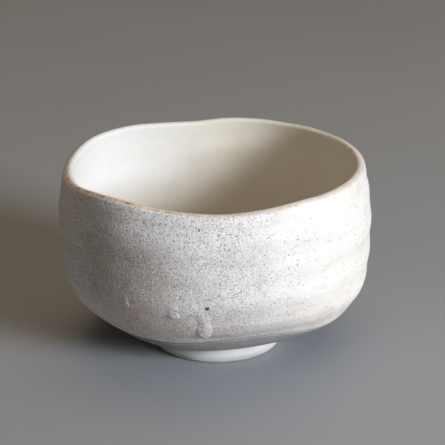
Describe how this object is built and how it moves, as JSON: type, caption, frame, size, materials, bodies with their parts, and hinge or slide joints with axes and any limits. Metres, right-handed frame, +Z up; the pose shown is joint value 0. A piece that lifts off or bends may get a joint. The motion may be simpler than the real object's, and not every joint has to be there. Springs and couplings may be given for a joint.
{
  "type": "matcha bowl",
  "caption": "Hand-shaped tea bowl with an uneven round lip, a full wall turned in low to a small foot ring, and a pale speckled glaze with runs.",
  "frame": {"origin": "middle of the foot ring in the plane it stands on, which is the bottom centre of the bowl's box", "axes": "+Z up through the foot ring's axis; -Y towards the front, where the three glaze runs are; +X to the right seen from the front"},
  "size_m": [0.1211, 0.1206, 0.0762],
  "materials": {
    "clay": "unglazed fired stoneware, slightly sandy",
    "outer_glaze": "matte warm white, finely speckled and pinholed",
    "inner_glaze": "smooth cream, soft sheen",
    "slip": "smooth matte white slip"
  },
  "bodies": {
    "root": {"clay_body": "clay", "foot_ring": "clay", "outer_glaze": "outer_glaze", "inner_glaze": "inner_glaze", "underside_slip": "slip", "foot_slip": "slip", "glaze_run_left": "outer_glaze", "glaze_run_middle": "outer_glaze", "glaze_run_right": "outer_glaze"}
  },
  "joints": []
}
